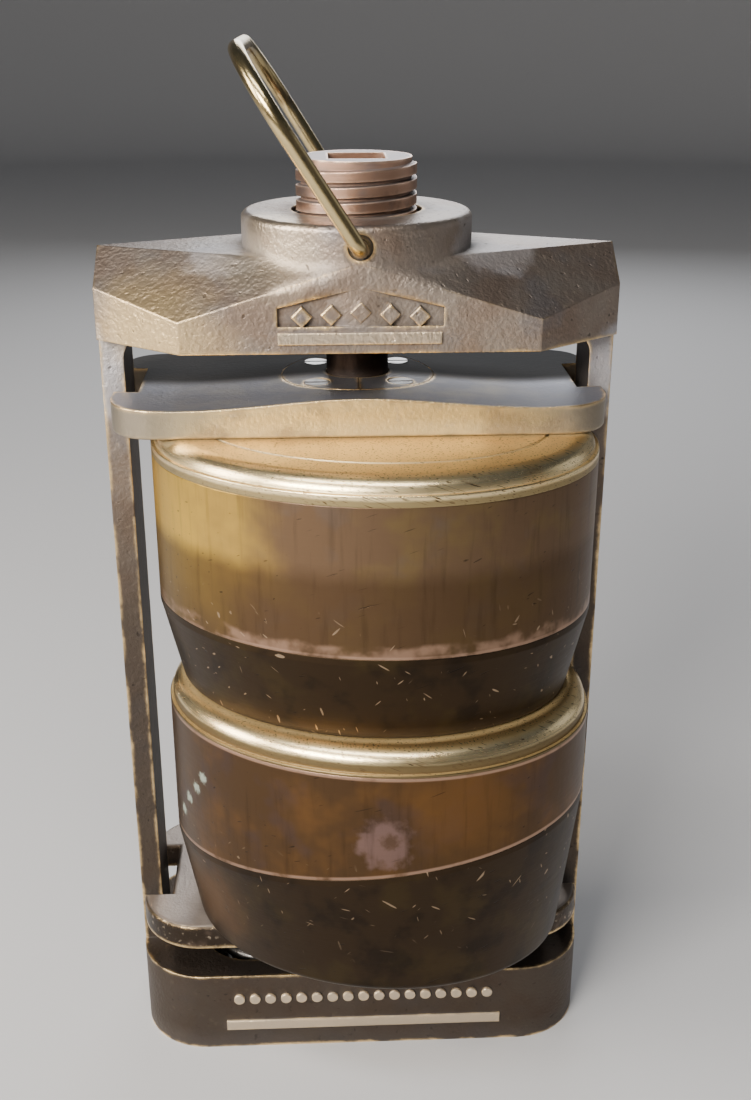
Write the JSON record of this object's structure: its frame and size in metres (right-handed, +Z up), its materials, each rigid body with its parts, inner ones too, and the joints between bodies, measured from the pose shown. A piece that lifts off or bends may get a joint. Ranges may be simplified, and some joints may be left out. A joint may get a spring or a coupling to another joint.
{
  "type": "dental flask press",
  "caption": "Narrow cast-bronze screw press with a wire bail and a sprung lower plate, clamping a stack of oval brass denture flasks.",
  "frame": {"origin": "middle of the base's foot face", "axes": "+Z up along the press screw, +X to the right when facing the side with the moulded bars, +Y away to the back"},
  "size_m": [0.089, 0.0706, 0.1913],
  "materials": {
    "cast_bronze": "aged cast bronze, warm grey-pink skin with golden worn edges",
    "spring_steel": "dull spring steel",
    "brass_wire": "drawn brass wire, semi polished",
    "plate_bronze": "machined bronze, greyed on top and bright on the worn front",
    "steel_hardware": "plain turned steel",
    "screw_copper_bronze": "coppery bronze thread, rubbed crests",
    "flask_lid_brass": "polished yellow brass, rubbed bead",
    "flask_wall_brass": "patinated tan to brown brass, fine scratches",
    "flask_foot_brass": "dark brown patinated brass, nicked"
  },
  "bodies": {
    "root": {"frame_casting": "cast_bronze", "base_spring_left": "spring_steel", "base_spring_right": "spring_steel", "base_plug": "cast_bronze"},
    "bail": {"bail_handle": "brass_wire"},
    "upper_plate": {"upper_pressure_plate": "plate_bronze", "thrust_washer": "steel_hardware", "screw_retainer_left": "plate_bronze", "screw_retainer_right": "plate_bronze", "retainer_screws": "steel_hardware"},
    "press_screw": {"press_screw": "screw_copper_bronze"},
    "lower_plate": {"lower_pressure_plate": "plate_bronze", "guide_stud": "steel_hardware", "guide_stud_washer": "steel_hardware", "guide_stud_nut": "steel_hardware"},
    "lower_flask": {"lower_flask_lid": "flask_lid_brass", "lower_flask_ring": "flask_wall_brass", "lower_flask_body": "flask_foot_brass", "lower_flask_knockout_disc": "flask_lid_brass", "lower_flask_register_pins": "steel_hardware"},
    "upper_flask": {"upper_flask_lid": "flask_lid_brass", "upper_flask_ring": "flask_wall_brass", "upper_flask_body": "flask_foot_brass", "upper_flask_knockout_disc": "flask_lid_brass", "upper_flask_register_pins": "steel_hardware"}
  },
  "joints": [
    {"name": "bail_swing", "type": "hinge", "parent": "root", "child": "bail", "pos_m": [0, 0, 0.1605], "axis": [0, 1, 0], "range_deg": [-57, 122]},
    {"name": "upper_plate_lift", "type": "slide", "parent": "root", "child": "upper_plate", "axis": [0, 0, 1], "range_m": [0, 0.0055]},
    {"name": "screw_turn", "type": "hinge", "parent": "upper_plate", "child": "press_screw", "pos_m": [0, 0, 0.15], "axis": [0, 0, 1], "range_deg": [0, 792.1]},
    {"name": "lower_plate_spring", "type": "slide", "parent": "root", "child": "lower_plate", "axis": [0, 0, 1], "range_m": [-0.0045, 0], "stiffness_N_per_m": 32000, "springref_m": 0.002, "deforming": ["base_spring_left", "base_spring_right"]},
    {"name": "lower_flask_draw", "type": "slide", "parent": "lower_plate", "child": "lower_flask", "axis": [0, -1, 0], "range_m": [0, 0.07]},
    {"name": "upper_flask_draw", "type": "slide", "parent": "lower_plate", "child": "upper_flask", "axis": [0, -1, 0], "range_m": [0, 0.07]}
  ],
  "couplings": [
    {"joint": "screw_turn", "follows": "upper_plate_lift", "rad_per_m": 2513.3}
  ]
}
